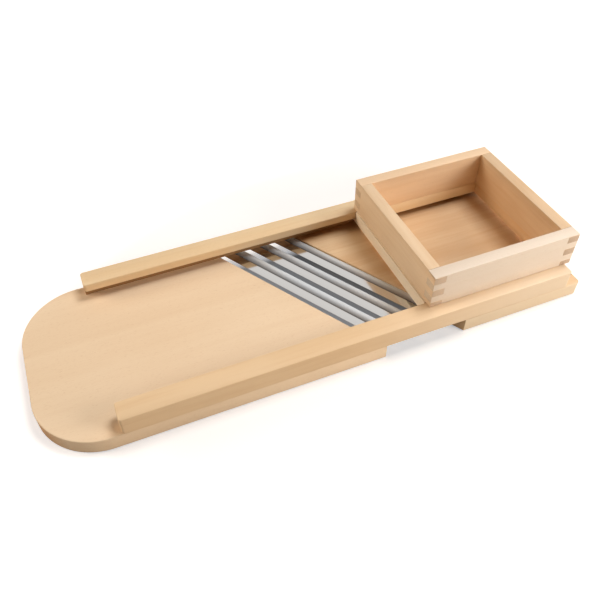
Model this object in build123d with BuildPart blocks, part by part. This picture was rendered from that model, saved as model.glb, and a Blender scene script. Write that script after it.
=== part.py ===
from build123d import *
import math
import os

os.makedirs("parts", exist_ok=True)

# A wooden cabbage shredder: two boards and two grooved rails carry three slanting steel blades,
# and a finger-jointed box slides over them. Millimetres, +X along the boards, +Z up.
# The origin is on the table, under the middle of the boards.

# Boards
board_length = 520.0
board_width = 182.6
board_thickness = 15.5
end_corner_radius = 58.0
right_corner_radius = 4.0
edge_chamfer = 0.5

# Rails
rail_width = 19.3
rail_height = 18.9
rail_left_inset = 65.6
rail_right_inset = 15.6
rail_end_radius = 2.5
groove_depth = 7.5
groove_height = 10.5

# Blades, which lie at a slant in the opening between the boards
blade_count = 3
blade_slant = 31.0
opening_edge_x = -8.6
blade_width = 19.8
blade_flat = 9.0
blade_thickness = 2.4
hollow_depth = 1.95
hollow_sag = 0.4
shoulder_drop = 0.35
shoulder_width = 0.5
cutting_bevel = 3.0
cutting_land = 0.25
throat = 3.8
back_clearance = 0.2
blade_end_cover = 16.0
punched_hole_radius = 1.2

# Box
box_length = 155.5
box_height = 36.8
box_wall = 12.0
box_overlap = 7.0
box_overhang = 5.35
finger_height = 7.6
top_finger = 1.2
finger_clearance = 0.05

# Runners under the walls of the box: bars under the side walls, tongued strips under the long walls
runner_width = 12.0
runner_proud = 1.5
runner_lift = 5.5
runner_side_clearance = 0.4
tongue_clearance = 0.6
runner_edge_chamfer = 0.8

# Countersunk wood screws
screw_clearance = 0.05
rail_screw_radius = 2.0
rail_screw_head_radius = 4.0
rail_screw_length = 30.0
rail_screw_inset = 20.0
blade_screw_radius = 1.5
blade_screw_head_radius = 2.8
blade_screw_length = 14.0
runner_screw_radius = 1.75
runner_screw_head_radius = 3.5
runner_screw_length = 30.0
runner_screw_spacing = 50.0
slot_width = 0.8
slot_depth = 0.4
slot_overrun = 0.8

# Worked-out places
half_length = board_length / 2
half_width = board_width / 2
rail_inner_y = half_width - rail_width
groove_back_y = rail_inner_y + groove_depth
web_middle_y = (groove_back_y + half_width) / 2
rail_top = board_thickness + rail_height
lip_underside = board_thickness + groove_height
rail_left_x = -half_length + rail_left_inset
rail_right_x = half_length - rail_right_inset
rail_length = rail_right_x - rail_left_x
slant = math.radians(blade_slant)
blade_pitch = blade_width + throat
opening_across = blade_count * blade_pitch + back_clearance
box_width = 2 * (rail_inner_y + box_overlap)
box_top = rail_top + box_height
box_right_x = rail_right_x + box_overhang
box_left_x = box_right_x - box_length
box_centre_x = (box_left_x + box_right_x) / 2
runner_underside = board_thickness + runner_lift


def slanted_x(across, y):
    """X of a point at a distance across the opening, square to the blades, from the left board."""
    return opening_edge_x + (across - y * math.sin(slant)) / math.cos(slant)


def blade_left(index):
    """Distance across the opening to a blade's left edge."""
    return throat + index * blade_pitch


def screw_profile(radius, head_radius, length, grow=0.0):
    """Half outline of a countersunk screw, from its head up, on the XZ plane."""
    head_height = head_radius - radius
    tip_height = radius
    Polyline(
        (0, 0),
        (head_radius + grow, 0),
        (radius + grow, head_height),
        (radius + grow, length - tip_height),
        (0, length + grow),
        close=True,
    )


def screw_group(places, base_z, radius, head_radius, length):
    """A group of like screws, heads down, each with its driving slot."""
    with BuildPart() as group:
        for x, y in places:
            with BuildSketch(Plane((x, y, base_z), x_dir=(1, 0, 0), z_dir=(0, -1, 0))):
                with BuildLine():
                    screw_profile(radius, head_radius, length)
                make_face()
            revolve(axis=Axis((x, y, base_z), (0, 0, 1)))
        with BuildSketch(Plane.XY.offset(base_z)):
            with Locations(*places):
                Rectangle(2 * (head_radius + slot_overrun), slot_width)
        extrude(amount=slot_depth, mode=Mode.SUBTRACT)
    return group


def screw_holes(places, base_z, radius, head_radius, length):
    """Cuts the holes of a screw group out of the part being built."""
    for x, y in places:
        with BuildSketch(Plane((x, y, base_z), x_dir=(1, 0, 0), z_dir=(0, -1, 0))) as profile:
            with BuildLine():
                screw_profile(radius, head_radius, length, grow=screw_clearance)
            make_face()
        revolve(profile.sketch, axis=Axis((x, y, base_z), (0, 0, 1)), mode=Mode.SUBTRACT)


# Screw places, far side first: +1 is the far rail, -1 the near rail
rail_screw_places = {}
blade_screw_places = {}
for side in (1, -1):
    web_y = side * web_middle_y
    rail_screw_places[side] = [
        (rail_left_x + rail_screw_inset, web_y),
        (slanted_x(0, web_y) - rail_screw_inset, web_y),
        (slanted_x(opening_across, web_y) + rail_screw_inset, web_y),
        (rail_right_x - rail_screw_inset, web_y),
    ]
    blade_screw_places[side] = [
        (slanted_x(blade_left(index) + (cutting_bevel + blade_flat) / 2, web_y), web_y)
        for index in range(blade_count)
    ]
rail_screw_size = (rail_screw_radius, rail_screw_head_radius, rail_screw_length)
blade_screw_size = (blade_screw_radius, blade_screw_head_radius, blade_screw_length)
runner_screw_size = (runner_screw_radius, runner_screw_head_radius, runner_screw_length)
blade_underside = board_thickness - blade_thickness

# Left board, with its rounded end
with BuildPart() as left_board:
    with BuildSketch():
        with BuildLine():
            Polyline(
                (-half_length, -half_width),
                (slanted_x(0, -half_width), -half_width),
                (slanted_x(0, half_width), half_width),
                (-half_length, half_width),
                close=True,
            )
        outline = make_face()
        fillet(outline.vertices().group_by(Axis.X)[0], end_corner_radius)
    extrude(amount=board_thickness)
    chamfer(left_board.edges().group_by(Axis.Z)[-1], edge_chamfer)
    chamfer(left_board.edges().group_by(Axis.Z)[0], edge_chamfer)
    for side in (1, -1):
        screw_holes(rail_screw_places[side][:2], 0, *rail_screw_size)

# Right board
with BuildPart() as right_board:
    with BuildSketch():
        with BuildLine():
            Polyline(
                (slanted_x(opening_across, -half_width), -half_width),
                (half_length, -half_width),
                (half_length, half_width),
                (slanted_x(opening_across, half_width), half_width),
                close=True,
            )
        outline = make_face()
        fillet(outline.vertices().group_by(Axis.X)[-1], right_corner_radius)
    extrude(amount=board_thickness)
    chamfer(right_board.edges().group_by(Axis.Z)[-1], edge_chamfer)
    chamfer(right_board.edges().group_by(Axis.Z)[0], edge_chamfer)
    for side in (1, -1):
        screw_holes(rail_screw_places[side][2:], 0, *rail_screw_size)

# Rails: each is a web on the boards with a lip over a groove that faces inwards
rails = {}
for side, rail_name in ((1, "far_rail"), (-1, "near_rail")):
    with BuildPart() as rail:
        with BuildSketch(Plane.YZ.offset(rail_left_x)):
            with BuildLine():
                Polyline(
                    (side * half_width, board_thickness),
                    (side * half_width, rail_top),
                    (side * rail_inner_y, rail_top),
                    (side * rail_inner_y, lip_underside),
                    (side * groove_back_y, lip_underside),
                    (side * groove_back_y, board_thickness),
                    close=True,
                )
            make_face()
        extrude(amount=rail_length)
        with BuildSketch(Plane.XY.offset(board_thickness)):
            with Locations((rail_left_x + rail_length / 2, side * (half_width - rail_width / 2))):
                RectangleRounded(rail_length, rail_width, rail_end_radius)
        extrude(amount=rail_height, mode=Mode.INTERSECT)
        chamfer(rail.edges().group_by(Axis.Z)[-1], edge_chamfer)
        screw_holes(rail_screw_places[side], 0, *rail_screw_size)
        screw_holes(blade_screw_places[side], blade_underside, *blade_screw_size)
    rails[rail_name] = rail

# Blades: flat on the cutting side, hollow-ground behind, with their ends under the rails
blades = {}
for index in range(blade_count):
    blade_start = Vector(slanted_x(blade_left(index), 0), 0, board_thickness)
    across = Vector(math.cos(slant), math.sin(slant), 0)
    along = Vector(-math.sin(slant), math.cos(slant), 0)
    blade_plane = Plane(origin=blade_start, x_dir=across, z_dir=across.cross(Vector(0, 0, 1)))
    with BuildPart() as blade:
        with BuildSketch(blade_plane):
            with BuildLine():
                hollow_start = (blade_flat + shoulder_width, -shoulder_drop)
                hollow_end = (blade_width, -hollow_depth)
                hollow_middle = (
                    (hollow_start[0] + hollow_end[0]) / 2,
                    (hollow_start[1] + hollow_end[1]) / 2 - hollow_sag,
                )
                Polyline((0, 0), (blade_flat, 0), hollow_start)
                ThreePointArc(hollow_start, hollow_middle, hollow_end)
                Polyline(
                    hollow_end,
                    (blade_width, -blade_thickness),
                    (cutting_bevel, -blade_thickness),
                    (0, -cutting_land),
                    (0, 0),
                )
            make_face()
        extrude(amount=board_width, both=True)
        with BuildSketch():
            Rectangle(2 * board_length, 2 * (rail_inner_y + blade_end_cover))
        extrude(amount=rail_top, mode=Mode.INTERSECT)
        for side in (1, -1):
            hole_y = side * rail_inner_y
            hole_x = slanted_x(blade_left(index) + blade_width / 2, hole_y)
            with BuildSketch(Plane.XY.offset(blade_underside)):
                with Locations((hole_x, hole_y)):
                    Circle(punched_hole_radius)
            extrude(amount=blade_thickness, mode=Mode.SUBTRACT)
            screw_holes([blade_screw_places[side][index]], blade_underside, *blade_screw_size)
    blades[f"blade_{index + 1}"] = blade

# Screws that hold the rails to the boards and the blades to the rails
far_rail_screws = screw_group(rail_screw_places[1], 0, *rail_screw_size)
near_rail_screws = screw_group(rail_screw_places[-1], 0, *rail_screw_size)
far_blade_screws = screw_group(blade_screw_places[1], blade_underside, *blade_screw_size)
near_blade_screws = screw_group(blade_screw_places[-1], blade_underside, *blade_screw_size)

# Box walls, finger-jointed: from the top down, the long walls have the first, third and fifth fingers,
# of which the first is only a thin rest of one, and the side walls the others
finger_levels = [box_top, box_top - top_finger]
while finger_levels[-1] > rail_top:
    finger_levels.append(max(finger_levels[-1] - finger_height, rail_top))
fingers = [
    ((upper + lower) / 2, upper - lower + 2 * finger_clearance)
    for upper, lower in zip(finger_levels, finger_levels[1:])
]
long_wall_fingers = fingers[0::2]
side_wall_fingers = fingers[1::2]
half_box_width = box_width / 2
runner_screw_y = (-runner_screw_spacing, 0, runner_screw_spacing)
side_walls = {}
for left_x, wall_name in ((box_left_x, "box_left_wall"), (box_right_x - box_wall, "box_right_wall")):
    screw_x = left_x + box_wall / 2
    with BuildPart() as side_wall:
        with BuildSketch(Plane.YZ.offset(left_x)):
            with Locations((0, rail_top + box_height / 2)):
                Rectangle(box_width, box_height)
            for finger_z, notch_height in long_wall_fingers:
                with Locations(
                    (half_box_width - box_wall / 2, finger_z),
                    (-half_box_width + box_wall / 2, finger_z),
                ):
                    Rectangle(box_wall + 2 * finger_clearance, notch_height, mode=Mode.SUBTRACT)
        extrude(amount=box_wall)
        screw_holes([(screw_x, y) for y in runner_screw_y], runner_underside, *runner_screw_size)
    side_walls[wall_name] = side_wall

long_walls = {}
for near_y, wall_name in ((-half_box_width, "box_front_wall"), (half_box_width - box_wall, "box_back_wall")):
    with BuildPart() as long_wall:
        with BuildSketch(Plane((0, near_y, 0), x_dir=(1, 0, 0), z_dir=(0, -1, 0))):
            with Locations((box_centre_x, rail_top + box_height / 2)):
                Rectangle(box_length, box_height)
            for finger_z, notch_height in side_wall_fingers:
                with Locations(
                    (box_left_x + box_wall / 2, finger_z),
                    (box_right_x - box_wall / 2, finger_z),
                ):
                    Rectangle(box_wall + 2 * finger_clearance, notch_height, mode=Mode.SUBTRACT)
        extrude(amount=-box_wall)
    long_walls[wall_name] = long_wall

# Side runners: a bar under each side wall, with a tongue at each end in the rails' grooves
runner_body_half = rail_inner_y - runner_side_clearance
tongue_half = groove_back_y - tongue_clearance
tongue_top = lip_underside - tongue_clearance
runners = {}
runner_places = (
    (box_left_x - runner_proud, box_left_x + box_wall / 2, "box_left_runner"),
    (box_right_x + runner_proud - runner_width, box_right_x - box_wall / 2, "box_right_runner"),
)
for left_x, screw_x, runner_name in runner_places:
    with BuildPart() as runner:
        with BuildSketch(Plane.YZ.offset(left_x)):
            with BuildLine():
                Polyline(
                    (-tongue_half, runner_underside),
                    (tongue_half, runner_underside),
                    (tongue_half, tongue_top),
                    (runner_body_half, tongue_top),
                    (runner_body_half, rail_top),
                    (-runner_body_half, rail_top),
                    (-runner_body_half, tongue_top),
                    (-tongue_half, tongue_top),
                    close=True,
                )
            make_face()
        extrude(amount=runner_width)
        screw_holes([(screw_x, y) for y in runner_screw_y], runner_underside, *runner_screw_size)
    runners[runner_name] = runner

# Long runners between the two bars: flush with the long walls inside, with a tongue all along the groove
long_runner_left_x = box_left_x - runner_proud + runner_width
long_runner_right_x = box_right_x + runner_proud - runner_width
long_wall_inner_y = half_box_width - box_wall
for side, runner_name in ((-1, "box_front_runner"), (1, "box_back_runner")):
    with BuildPart() as runner:
        with BuildSketch(Plane.YZ.offset(long_runner_left_x)):
            with BuildLine():
                Polyline(
                    (side * long_wall_inner_y, rail_top),
                    (side * long_wall_inner_y, runner_underside + runner_edge_chamfer),
                    (side * (long_wall_inner_y + runner_edge_chamfer), runner_underside),
                    (side * tongue_half, runner_underside),
                    (side * tongue_half, tongue_top),
                    (side * runner_body_half, tongue_top),
                    (side * runner_body_half, rail_top),
                    close=True,
                )
            make_face()
        extrude(amount=long_runner_right_x - long_runner_left_x)
    runners[runner_name] = runner

left_screw_places = [(box_left_x + box_wall / 2, y) for y in runner_screw_y]
right_screw_places = [(box_right_x - box_wall / 2, y) for y in runner_screw_y]
left_runner_screws = screw_group(left_screw_places, runner_underside, *runner_screw_size)
right_runner_screws = screw_group(right_screw_places, runner_underside, *runner_screw_size)

pieces = {"left_board": left_board, "right_board": right_board}
pieces.update(rails)
pieces.update(blades)
pieces.update(
    far_rail_screws=far_rail_screws,
    near_rail_screws=near_rail_screws,
    far_blade_screws=far_blade_screws,
    near_blade_screws=near_blade_screws,
)
pieces.update(side_walls)
pieces.update(long_walls)
pieces.update(runners)
pieces.update(left_runner_screws=left_runner_screws, right_runner_screws=right_runner_screws)

for piece_name, piece in pieces.items():
    piece.part.label = piece_name
    export_step(piece.part, f"parts/{piece_name}.step")
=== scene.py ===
import math

import bmesh
import bpy
from mathutils import Matrix, Vector


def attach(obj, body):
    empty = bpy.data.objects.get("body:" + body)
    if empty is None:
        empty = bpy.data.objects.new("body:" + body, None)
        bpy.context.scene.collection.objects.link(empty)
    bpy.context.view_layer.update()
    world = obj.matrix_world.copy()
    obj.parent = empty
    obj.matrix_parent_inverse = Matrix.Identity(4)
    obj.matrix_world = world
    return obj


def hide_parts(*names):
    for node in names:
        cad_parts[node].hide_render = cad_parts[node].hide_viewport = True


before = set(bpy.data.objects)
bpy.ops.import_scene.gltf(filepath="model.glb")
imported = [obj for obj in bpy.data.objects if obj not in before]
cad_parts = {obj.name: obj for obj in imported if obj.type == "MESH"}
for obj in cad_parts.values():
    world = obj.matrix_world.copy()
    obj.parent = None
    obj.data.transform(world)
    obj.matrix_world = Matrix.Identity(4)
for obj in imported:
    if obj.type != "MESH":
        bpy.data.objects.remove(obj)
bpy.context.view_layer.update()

# A wooden cabbage shredder on a white table, in metres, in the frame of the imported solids.

MM = 0.001
WHITE = (1.0, 1.0, 1.0, 1.0)

# Camera, from a fit to the straight edges of the photograph
EYE = (-0.1718, -0.4135, 0.4756)
TILT = math.radians(44.364)
HEADING = math.radians(-21.545)
ROLL = math.radians(-0.844)
PICTURE_WIDTH = 600
FOCAL_PIXELS = 658.7
PICTURE_CENTRE = (292.95, 291.9)
SENSOR = 36.0

# Blades, as the solids have them
SLANT = math.radians(31.0)
OPENING_EDGE_X = -8.6 * MM
BLADE_PITCH = 23.6 * MM
BLADE_WIDTH = 19.8 * MM
THROAT = 3.8 * MM
BLADE_FLAT = 9.0 * MM

# Rails and boards, as the solids have them
RAIL_INNER_Y = 72.0 * MM
GROOVE_BACK_Y = 79.5 * MM
BOARD_TOP = 15.5 * MM
LIP_UNDERSIDE = 26.0 * MM

# Edges of the wood: how far each is rounded, and which count as long and sharp
BOARD_EDGE = 0.55 * MM
WALL_EDGE = 0.45 * MM
EDGE_STEPS = 2
LONG_EDGE = 5.0 * MM
SHARP_ANGLE = math.radians(30.0)
CREASE_ANGLE = math.radians(35.0)
LEVEL_ANGLE = math.radians(0.5)
SAME_PLACE = 0.01 * MM

# Figure of the beech: how fine each pattern is, its scale along the grain, and its shift for each seed
BAND_FINENESS = 26.0
STREAK_FINENESS = 240.0
CLOUD_FINENESS = 9.0
FLECK_FINENESS = 1500.0
PORE_FINENESS = 1100.0
GRAIN_STRETCH = 0.06
FLECK_STRETCH = 0.2
SEED_STEPS = (1.7, 2.3, 0.9)

# The range of each pattern that shows, and how much of the other colour it brings in
BAND_RANGE = (0.42, 0.66)
BAND_SHARE = 0.55
CLOUD_RANGE = (0.4, 0.7)
CLOUD_SHARE = 0.3
STREAK_RANGE = (0.45, 0.75)
STREAK_SHARE = 0.32
FLECK_RANGE = (0.62, 0.76)
FLECK_SHARE = 0.22
PORE_RANGE = (0.4, 0.65)
PORE_SHARE = 0.4

# How squarely a face looks along an axis before it takes the end grain's colour, or the paler colour of
# painted light on a lit side
SQUARELY = (0.6, 0.9)
PAINTED_SIDE_LIGHT_SHARE = 0.8

# Surface of the beech
STREAK_RELIEF = 0.8
FLECK_RELIEF = 1.5
WOOD_BUMP = 0.18
WOOD_BUMP_DEPTH = 0.25 * MM
WOOD_SPECULAR = 0.3
ROUGHNESS_RANGE = (0.3, 0.8)
WOOD_ROUGHNESS = (0.5, 0.62)

# Painted shade in the rails' grooves and on the board under the lip: from and to a distance from the middle
# line, up to a height, and the shade laid over them
GROOVE_PAINTED_SHADE = (RAIL_INNER_Y, RAIL_INNER_Y + 1.0 * MM, LIP_UNDERSIDE + 0.4 * MM, (0.42, 0.30, 0.20, 1.0))
UNDER_LIP_PAINTED_SHADE = (62.0 * MM, RAIL_INNER_Y, BOARD_TOP + 1.0 * MM, (0.55, 0.42, 0.30, 1.0))
PAINTED_SHADE_TOP_FADE = 0.6 * MM
PAINTED_SHADE_BACK_FADE = 0.3 * MM

# Painted light on the near rail, paler towards its right end where more light falls: from X, to X, how far it
# goes, and its colour on the screen
NEAR_RAIL_PAINTED_LIGHT = (20.0 * MM, 200.0 * MM, 0.6, (246, 228, 204))

# Steel across one blade, with painted shade at the grind line and a painted reflection brightening across the
# hollow: distance from the grind line in blade widths, and tone
FLAT_TONE = (0.61, 0.59, 0.565, 1.0)
PAINTED_GRIND_SHADING_TONES = [
    (-0.012, FLAT_TONE),
    (0.004, (0.07, 0.065, 0.06, 1.0)),
    (0.045, (0.09, 0.085, 0.08, 1.0)),
    (0.075, (0.16, 0.16, 0.16, 1.0)),
    (0.25, (0.38, 0.39, 0.40, 1.0)),
    (0.40, (0.62, 0.64, 0.66, 1.0)),
]
PAINTED_HOLLOW_EDGE_LIGHT = (0.66, 0.68, 0.70, 1.0)
HOLLOW_START = 0.005
HOLLOW_METALLIC = 0.4
HOLLOW_ROUGHNESS = 0.42
GRINDING_FINENESS = 60.0
GRINDING_STRETCH = 60.0
GRINDING_RANGE = (0.3, 0.7)
GRINDING_BUMP = 0.03
GRINDING_DEPTH = 0.05 * MM
FLAT_ROUGHNESS = (0.06, 0.14)

# Zinc plating of the screws
ZINC_FINENESS = 700.0
ZINC_RANGE = (0.3, 0.7)
ZINC_DARK = (0.42, 0.42, 0.40, 1.0)
ZINC_LIGHT = (0.60, 0.60, 0.57, 1.0)
ZINC_BUMP = 0.1
ZINC_DEPTH = 0.1 * MM
ZINC_ROUGHNESS = (0.28, 0.42)

# White table: its size, its glow and tone, and where its shadow fades into plain white
TABLE_REACH = 4.0
TABLE_TOP = -0.3 * MM
TABLE_GLOW = 0.44
TABLE_GLOW_COLOUR = (0.86, 0.92, 1.0, 1.0)
TABLE_TONE = (0.78, 0.73, 0.67, 1.0)
TABLE_SHADOW_REACH = 0.33
TABLE_SHADOW_FADE = 0.12
TABLE_SHADOW_MIDDLE_X = 0.09
TABLE_SHADOW_SQUEEZE = 1.6

# Shade on the table below the opening, which deepens from the first throat to the last
OPENING_TONE = (0.28, 0.26, 0.25, 1.0)
OPENING_MIDDLE_X = 35.0 * MM
OPENING_SHADE_HALF_LENGTH = 100.0 * MM
OPENING_SHADE_HALF_WIDTH = 66.0 * MM
OPENING_SHADE_FADE = 12.0 * MM
FIRST_THROAT_SEEN = 13.5 * MM
LAST_THROAT_SEEN = 60.7 * MM
FIRST_THROAT_GLOW = 0.20
LAST_THROAT_GLOW = 0.055

# Even fill from all around
FILL_COLOUR = (1.0, 0.85, 0.7, 1.0)
FILL_STRENGTH = 0.02

# Sockets of a colour Mix node, whose names repeat
MIX_FACTOR = 0
MIX_FIRST = 6
MIX_SECOND = 7
MIX_RESULT = 2


def srgb(screen_colour):
    """A linear colour from red, green and blue screen values of 0 to 255."""
    def linear(value):
        value /= 255
        return value / 12.92 if value <= 0.04045 else ((value + 0.055) / 1.055) ** 2.4
    return tuple(linear(value) for value in screen_colour) + (1.0,)


class Nodes:
    """Short calls for building a node tree."""

    def __init__(self, tree):
        self.tree = tree

    def feed(self, socket, value):
        """Links a node's output to a socket, or sets the socket's own value."""
        if isinstance(value, bpy.types.NodeSocket):
            self.tree.links.new(value, socket)
        else:
            socket.default_value = value

    def new(self, kind, inputs=None, **settings):
        node = self.tree.nodes.new(kind)
        for key, value in settings.items():
            setattr(node, key, value)
        for key, value in (inputs or {}).items():
            self.feed(node.inputs[key], value)
        return node

    def axes(self, vector):
        return self.new("ShaderNodeSeparateXYZ", {"Vector": vector}).outputs

    def math(self, operation, *values):
        return self.new("ShaderNodeMath", dict(enumerate(values)), operation=operation).outputs[0]

    def spread(self, value, low, high, to_low=0.0, to_high=1.0):
        """Stretches the range low to high of a value to another range, and holds it at both ends."""
        return self.new("ShaderNodeMapRange", {
            "Value": value, "From Min": low, "From Max": high, "To Min": to_low, "To Max": to_high,
        }).outputs[0]

    def blend(self, factor, first, second, mode="MIX"):
        inputs = {MIX_FACTOR: factor, MIX_FIRST: first, MIX_SECOND: second}
        return self.new("ShaderNodeMix", inputs, data_type="RGBA", blend_type=mode).outputs[MIX_RESULT]


class Surface(Nodes):
    """The nodes of a new material, which lies in its object's own coordinates."""

    def __init__(self, name):
        self.material = bpy.data.materials.new(name)
        self.material.use_nodes = True
        super().__init__(self.material.node_tree)
        self.shader = self.tree.nodes["Principled BSDF"]
        coordinates = self.tree.nodes.new("ShaderNodeTexCoord")
        self.spot = coordinates.outputs["Object"]
        self.normal = coordinates.outputs["Normal"]

    def mapped(self, vector, scale=(1.0, 1.0, 1.0), turn=(0.0, 0.0, 0.0), move=(0.0, 0.0, 0.0)):
        inputs = {"Vector": vector, "Scale": scale, "Rotation": turn, "Location": move}
        return self.new("ShaderNodeMapping", inputs).outputs["Vector"]

    def noise(self, vector, fineness, detail, roughness=0.5, distortion=0.0):
        return self.new("ShaderNodeTexNoise", {
            "Vector": vector, "Scale": fineness, "Detail": detail,
            "Roughness": roughness, "Distortion": distortion,
        }).outputs["Fac"]

    def ramp(self, factor, stops):
        node = self.new("ShaderNodeValToRGB", {"Fac": factor})
        elements = node.color_ramp.elements
        while len(elements) < len(stops):
            elements.new(0.5)
        for element, (position, colour) in zip(elements, stops):
            element.position = position
            element.color = colour
        return node.outputs["Color"]

    def bump(self, height, strength, depth):
        node = self.new("ShaderNodeBump", {"Height": height, "Strength": strength, "Distance": depth})
        self.feed(self.shader.inputs["Normal"], node.outputs["Normal"])

    def finish(self, colour, roughness, metallic=0.0):
        self.feed(self.shader.inputs["Base Color"], colour)
        self.feed(self.shader.inputs["Roughness"], roughness)
        self.feed(self.shader.inputs["Metallic"], metallic)
        return self.material


def drawn_out(along, stretch):
    """The scale of a pattern that is drawn out along X, Y or Z, or packed closer for a stretch above 1."""
    scale = [1.0, 1.0, 1.0]
    scale["XYZ".index(along)] = stretch
    return scale


def beech(name, pale, deep, end_grain, along, seed, figure=1.0, painted_side_light=None, painted_light=None, painted_shade=None):
    """Planed beech: soft bands, fine streaks, faint ray flecks and porous end grain.

    The grain runs along an axis. A piece can have painted light on its sides, painted light that grows
    along X, and painted shade in its recesses.
    """
    n = Surface(name)
    pale = srgb(pale)
    deep = srgb(deep)
    end_grain = srgb(end_grain)
    start = tuple(seed * step for step in SEED_STEPS)

    plain = n.mapped(n.spot, move=start)
    grain = n.mapped(n.spot, drawn_out(along, GRAIN_STRETCH), move=start)
    fine_grain = n.mapped(n.spot, drawn_out(along, FLECK_STRETCH), move=start)
    bands = n.noise(grain, BAND_FINENESS, detail=3.0, roughness=0.6, distortion=0.6)
    streaks = n.noise(grain, STREAK_FINENESS, detail=4.0, roughness=0.6)
    cloud = n.noise(plain, CLOUD_FINENESS, detail=2.0)
    flecks = n.noise(fine_grain, FLECK_FINENESS, detail=1.0, roughness=0.4)
    pores = n.noise(plain, PORE_FINENESS, detail=2.0)

    colour = n.blend(n.spread(bands, *BAND_RANGE, 0.0, BAND_SHARE * figure), pale, deep)
    colour = n.blend(n.spread(cloud, *CLOUD_RANGE, 0.0, CLOUD_SHARE * figure), colour, deep)
    colour = n.blend(n.spread(streaks, *STREAK_RANGE, 0.0, STREAK_SHARE * figure), colour, deep)
    spots = n.spread(flecks, *FLECK_RANGE, 0.0, FLECK_SHARE)
    colour = n.blend(spots, colour, end_grain)

    facing = n.axes(n.normal)
    on_end = n.spread(n.math("ABSOLUTE", facing[along]), *SQUARELY)
    end_colour = n.blend(n.spread(pores, *PORE_RANGE, 0.0, PORE_SHARE), end_grain, deep)
    colour = n.blend(on_end, colour, end_colour)
    # Painted light: paler towards +X, where more light falls
    if painted_light:
        from_x, to_x, share, target = painted_light
        colour = n.blend(n.spread(n.axes(n.spot)["X"], from_x, to_x, 0.0, share), colour, srgb(target))
    # Painted light: faces towards the front and back take a paler colour, as if lit
    if painted_side_light:
        on_lit_side = n.spread(n.math("ABSOLUTE", facing["Y"]), *SQUARELY, 0.0, PAINTED_SIDE_LIGHT_SHARE)
        colour = n.blend(on_lit_side, colour, srgb(painted_side_light))
    # Painted shade: darker in the groove and under the lip, where shade falls
    if painted_shade:
        from_y, full_y, top_z, shade = painted_shade
        spot = n.axes(n.spot)
        out = n.math("ABSOLUTE", spot["Y"])
        far_out = n.spread(out, from_y, full_y)
        low = n.spread(spot["Z"], top_z - PAINTED_SHADE_TOP_FADE, top_z, 1.0, 0.0)
        before_back = n.spread(out, GROOVE_BACK_Y, GROOVE_BACK_Y + PAINTED_SHADE_BACK_FADE, 1.0, 0.0)
        amount = n.math("MULTIPLY", n.math("MULTIPLY", far_out, low), before_back)
        colour = n.blend(amount, colour, shade, mode="MULTIPLY")

    streak_height = n.math("MULTIPLY", streaks, STREAK_RELIEF)
    fleck_height = n.math("MULTIPLY", spots, FLECK_RELIEF)
    n.bump(n.math("SUBTRACT", streak_height, fleck_height), WOOD_BUMP, WOOD_BUMP_DEPTH)
    n.shader.inputs["Specular IOR Level"].default_value = WOOD_SPECULAR
    return n.finish(colour, n.spread(streaks, *ROUGHNESS_RANGE, *WOOD_ROUGHNESS))


def blade_steel():
    """Bright steel: a level flat, and painted shade and reflection across each blade: a dark grind line, and
    a hollow painted darker towards that line.
    """
    n = Surface("polished_blade_steel")
    across = n.mapped(n.spot, turn=(0.0, 0.0, -SLANT))
    first_blade = OPENING_EDGE_X * math.cos(SLANT) + THROAT
    beyond = n.math("SUBTRACT", n.axes(across)["X"], first_blade)
    within = n.math("MODULO", n.math("ADD", beyond, BLADE_PITCH), BLADE_PITCH)
    share = n.math("DIVIDE", within, BLADE_WIDTH)
    line = BLADE_FLAT / BLADE_WIDTH
    # Painted shade and reflection: darkest at the grind line, brightening across the hollow
    stops = [(line + offset, tone) for offset, tone in PAINTED_GRIND_SHADING_TONES]
    colour = n.ramp(share, [(0.0, FLAT_TONE), *stops, (1.0, PAINTED_HOLLOW_EDGE_LIGHT)])

    lengthwise = n.mapped(across, drawn_out("X", GRINDING_STRETCH))
    grinding = n.noise(lengthwise, GRINDING_FINENESS, detail=3.0)
    n.bump(grinding, GRINDING_BUMP, GRINDING_DEPTH)
    hollow = n.spread(share, line - HOLLOW_START, line + HOLLOW_START)
    flat_roughness = n.spread(grinding, *GRINDING_RANGE, *FLAT_ROUGHNESS)
    roughness = n.math("MAXIMUM", flat_roughness, n.math("MULTIPLY", hollow, HOLLOW_ROUGHNESS))
    return n.finish(colour, roughness, n.spread(hollow, 0.0, 1.0, 1.0, HOLLOW_METALLIC))


def screw_steel():
    """Zinc-plated screws, slightly mottled."""
    n = Surface("zinc_plated_steel")
    mottle = n.noise(n.spot, ZINC_FINENESS, detail=3.0)
    colour = n.ramp(mottle, list(zip(ZINC_RANGE, (ZINC_DARK, ZINC_LIGHT))))
    n.bump(mottle, ZINC_BUMP, ZINC_DEPTH)
    return n.finish(colour, n.spread(mottle, *ZINC_RANGE, *ZINC_ROUGHNESS), metallic=1.0)


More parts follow.
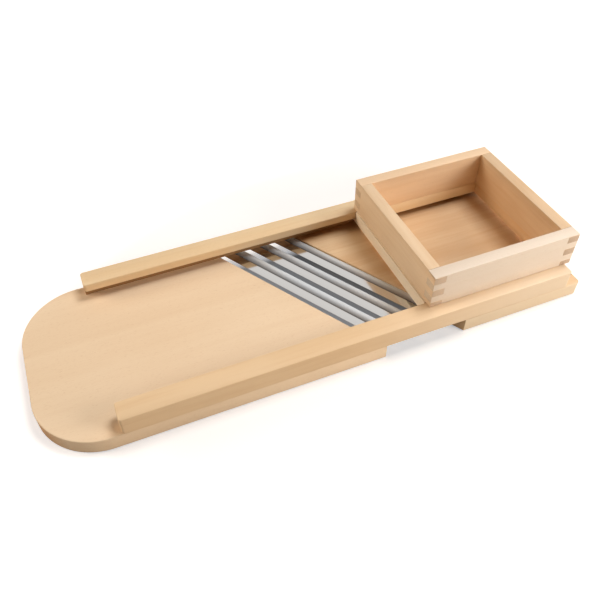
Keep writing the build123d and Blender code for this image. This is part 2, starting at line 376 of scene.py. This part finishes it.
def softened(node_name, width, material):
    """A copy of a solid with its long sharp edges rounded, which stands in for it."""
    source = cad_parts[node_name]
    mesh = bpy.data.meshes.new(node_name + "_wood")
    bm = bmesh.new()
    bm.from_mesh(source.data)
    bmesh.ops.remove_doubles(bm, verts=bm.verts, dist=SAME_PLACE)
    bmesh.ops.dissolve_limit(
        bm, angle_limit=LEVEL_ANGLE, use_dissolve_boundaries=False,
        verts=bm.verts, edges=bm.edges, delimit={"NORMAL"},
    )
    sharp = [
        edge for edge in bm.edges
        if len(edge.link_faces) == 2
        and edge.calc_length() > LONG_EDGE
        and edge.calc_face_angle() > SHARP_ANGLE
    ]
    bmesh.ops.bevel(
        bm, geom=sharp, offset=width, offset_type="OFFSET", affect="EDGES",
        segments=EDGE_STEPS, profile=0.5, material=-1, clamp_overlap=True,
    )
    for face in bm.faces:
        face.smooth = True
    for edge in bm.edges:
        if len(edge.link_faces) == 2 and edge.calc_face_angle() > CREASE_ANGLE:
            edge.smooth = False
    bmesh.ops.triangulate(bm, faces=[face for face in bm.faces if len(face.verts) > 4])
    bm.to_mesh(mesh)
    bm.free()
    piece = bpy.data.objects.new(node_name + "_wood", mesh)
    bpy.context.scene.collection.objects.link(piece)
    piece.data.materials.append(material)
    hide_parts(node_name)
    return piece


def dress(node_name, material):
    """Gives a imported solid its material."""
    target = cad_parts[node_name]
    if not target.material_slots:
        target.data.materials.append(material)
    for slot in target.material_slots:
        slot.material = material


def white_table():
    """White with shadows near the object and below the opening, plain white farther off, clear from below."""
    n = Surface("white_table")
    n.tree.nodes.remove(n.shader)
    from_middle = n.mapped(
        n.spot, (1.0, TABLE_SHADOW_SQUEEZE, 1.0), move=(-TABLE_SHADOW_MIDDLE_X, 0.0, 0.0))
    distance = n.new("ShaderNodeVectorMath", {0: from_middle}, operation="LENGTH").outputs["Value"]
    plain = n.spread(distance, TABLE_SHADOW_REACH, TABLE_SHADOW_REACH + TABLE_SHADOW_FADE)

    spot = n.axes(n.spot)
    out_y = n.math("ABSOLUTE", spot["Y"])
    out_x = n.math("ABSOLUTE", n.math("SUBTRACT", spot["X"], OPENING_MIDDLE_X))
    beside = n.spread(out_y, OPENING_SHADE_HALF_WIDTH, OPENING_SHADE_HALF_WIDTH + OPENING_SHADE_FADE)
    beyond = n.spread(out_x, OPENING_SHADE_HALF_LENGTH, OPENING_SHADE_HALF_LENGTH + OPENING_SHADE_FADE)
    open_air = n.math("MAXIMUM", beside, beyond)
    across_blades = n.axes(n.mapped(n.spot, turn=(0.0, 0.0, -SLANT)))["X"]
    throat_glow = n.spread(
        across_blades, FIRST_THROAT_SEEN, LAST_THROAT_SEEN, FIRST_THROAT_GLOW, LAST_THROAT_GLOW)
    shaded_glow = n.math("MULTIPLY", throat_glow, n.math("SUBTRACT", 1.0, open_air))
    lit_glow = n.math("MULTIPLY", open_air, TABLE_GLOW)
    near_glow = n.math("MAXIMUM", shaded_glow, lit_glow)
    rest_to_white = n.math("MULTIPLY", plain, n.math("SUBTRACT", 1.0, near_glow))
    seen = n.new("ShaderNodeLightPath").outputs["Is Camera Ray"]
    glow = n.math("MULTIPLY", seen, n.math("ADD", near_glow, rest_to_white))

    diffuse = n.new("ShaderNodeBsdfDiffuse", {"Color": n.blend(open_air, OPENING_TONE, TABLE_TONE)})
    glow_colour = n.blend(plain, TABLE_GLOW_COLOUR, WHITE)
    emission = n.new("ShaderNodeEmission", {"Color": glow_colour, "Strength": glow})
    both = n.new("ShaderNodeAddShader", {0: diffuse.outputs[0], 1: emission.outputs[0]})
    from_below = n.new("ShaderNodeNewGeometry").outputs["Backfacing"]
    clear = n.new("ShaderNodeBsdfTransparent")
    whole = n.new("ShaderNodeMixShader", {0: from_below, 1: both.outputs[0], 2: clear.outputs[0]})
    n.feed(n.tree.nodes["Material Output"].inputs["Surface"], whole.outputs[0])
    return n.material


def add_table():
    """The table's top, outside the object and just below it."""
    mesh = bpy.data.meshes.new("table")
    bm = bmesh.new()
    bmesh.ops.create_grid(bm, x_segments=1, y_segments=1, size=TABLE_REACH)
    bmesh.ops.translate(bm, vec=(0.0, 0.0, TABLE_TOP), verts=bm.verts)
    bm.to_mesh(mesh)
    bm.free()
    ground = bpy.data.objects.new("table", mesh)
    bpy.context.scene.collection.objects.link(ground)
    ground.data.materials.append(white_table())


def set_world():
    """Soft even fill for the object, plain white for the eye and for reflections."""
    world = bpy.data.worlds.new("studio")
    bpy.context.scene.world = world
    world.use_nodes = True
    n = Nodes(world.node_tree)
    path = n.new("ShaderNodeLightPath").outputs
    seen = path["Is Camera Ray"]
    for reflected in ("Is Glossy Ray", "Is Transmission Ray"):
        seen = n.math("MAXIMUM", seen, path[reflected])
    background = n.tree.nodes["Background"]
    n.feed(background.inputs["Color"], n.blend(seen, FILL_COLOUR, WHITE))
    n.feed(background.inputs["Strength"], n.spread(seen, 0.0, 1.0, FILL_STRENGTH, 1.0))


def add_lamp(name, place, size, power, colour):
    """A large square lamp that points at the middle of the boards."""
    lamp = bpy.data.lights.new(name, "AREA")
    lamp.shape = "SQUARE"
    lamp.size = size
    lamp.energy = power
    lamp.color = colour
    holder = bpy.data.objects.new(name, lamp)
    bpy.context.scene.collection.objects.link(holder)
    turn = Vector(place).to_track_quat("Z", "Y").to_matrix().to_4x4()
    holder.matrix_world = Matrix.Translation(place) @ turn


def add_camera():
    """The photograph's viewpoint."""
    data = bpy.data.cameras.new("camera")
    data.sensor_width = SENSOR
    data.lens = SENSOR * FOCAL_PIXELS / PICTURE_WIDTH
    middle = PICTURE_WIDTH / 2
    data.shift_x = (middle - PICTURE_CENTRE[0]) / PICTURE_WIDTH
    data.shift_y = (PICTURE_CENTRE[1] - middle) / PICTURE_WIDTH
    camera = bpy.data.objects.new("camera", data)
    bpy.context.scene.collection.objects.link(camera)
    turn = Matrix.Rotation(HEADING, 4, "Z") @ Matrix.Rotation(TILT, 4, "X") @ Matrix.Rotation(ROLL, 4, "Z")
    camera.matrix_world = Matrix.Translation(EYE) @ turn
    bpy.context.scene.camera = camera


# Wood of each piece, in screen colours
left_board_wood = beech(
    "left_board_beech", pale=(245, 218, 185), deep=(232, 198, 160), end_grain=(198, 150, 102),
    along="X", seed=0.3, figure=0.6)
# Right board: its deeper tone is partly painted shade from the box, and its sides carry painted light
right_board_wood = beech(
    "right_board_beech", pale=(236, 204, 164), deep=(209, 162, 113), end_grain=(206, 168, 126),
    along="X", seed=2.1, painted_side_light=(247, 226, 196), painted_shade=UNDER_LIP_PAINTED_SHADE)
far_rail_wood = beech(
    "far_rail_beech", pale=(247, 222, 184), deep=(234, 197, 150), end_grain=(206, 168, 126),
    along="X", seed=3.6, painted_shade=GROOVE_PAINTED_SHADE)
near_rail_wood = beech(
    "near_rail_beech", pale=(239, 206, 165), deep=(222, 181, 133), end_grain=(246, 214, 172),
    along="X", seed=5.2, painted_light=NEAR_RAIL_PAINTED_LIGHT, painted_shade=GROOVE_PAINTED_SHADE)
front_wall_wood = beech(
    "front_wall_beech", pale=(241, 224, 206), deep=(233, 212, 190), end_grain=(214, 190, 162),
    along="X", seed=6.4, figure=0.5)
back_wall_wood = beech(
    "back_wall_beech", pale=(242, 211, 177), deep=(226, 188, 146), end_grain=(212, 184, 152),
    along="X", seed=7.7)
left_wall_wood = beech(
    "left_wall_beech", pale=(240, 212, 178), deep=(221, 183, 141), end_grain=(208, 184, 162),
    along="Y", seed=8.3)
right_wall_wood = beech(
    "right_wall_beech", pale=(229, 198, 162), deep=(204, 160, 114), end_grain=(208, 184, 162),
    along="Y", seed=14.6)
left_runner_wood = beech(
    "runner_beech", pale=(251, 233, 206), deep=(242, 216, 182), end_grain=(216, 184, 148),
    along="Y", seed=9.5, figure=0.6)
right_runner_wood = beech(
    "inner_runner_beech", pale=(230, 194, 152), deep=(210, 166, 120), end_grain=(206, 172, 136),
    along="Y", seed=10.9)
long_runner_wood = beech(
    "long_runner_beech", pale=(250, 226, 190), deep=(240, 206, 160), end_grain=(210, 178, 140),
    along="X", seed=12.4)

wooden_pieces = {
    "left_board": (left_board_wood, "frame", BOARD_EDGE),
    "right_board": (right_board_wood, "frame", BOARD_EDGE),
    "far_rail": (far_rail_wood, "frame", BOARD_EDGE),
    "near_rail": (near_rail_wood, "frame", BOARD_EDGE),
    "box_front_wall": (front_wall_wood, "box", WALL_EDGE),
    "box_back_wall": (back_wall_wood, "box", WALL_EDGE),
    "box_left_wall": (left_wall_wood, "box", WALL_EDGE),
    "box_right_wall": (right_wall_wood, "box", WALL_EDGE),
    "box_left_runner": (left_runner_wood, "box", WALL_EDGE),
    "box_right_runner": (right_runner_wood, "box", WALL_EDGE),
    "box_front_runner": (long_runner_wood, "box", WALL_EDGE),
    "box_back_runner": (long_runner_wood, "box", WALL_EDGE),
}
for node_name, (wood, body, edge) in wooden_pieces.items():
    piece = softened(node_name, edge, wood)
    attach(piece, body)

# Steel
blade_material = blade_steel()
for node_name in ("blade_1", "blade_2", "blade_3"):
    dress(node_name, blade_material)
screw_material = screw_steel()
for node_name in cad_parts:
    if node_name.endswith("_screws"):
        dress(node_name, screw_material)

# Set, light and camera
add_table()
set_world()
add_lamp("overhead_right", place=(0.95, 0.15, 2.2), size=0.9, power=33.0, colour=(1.0, 1.0, 1.0))
add_lamp("right_front", place=(0.9, -0.8, 0.5), size=0.6, power=10.5, colour=(1.0, 0.94, 0.86))
add_lamp("left_back", place=(-1.6, 0.7, 0.9), size=0.8, power=19.0, colour=(1.0, 0.88, 0.73))
add_camera()
bpy.context.scene.view_settings.view_transform = "Standard"
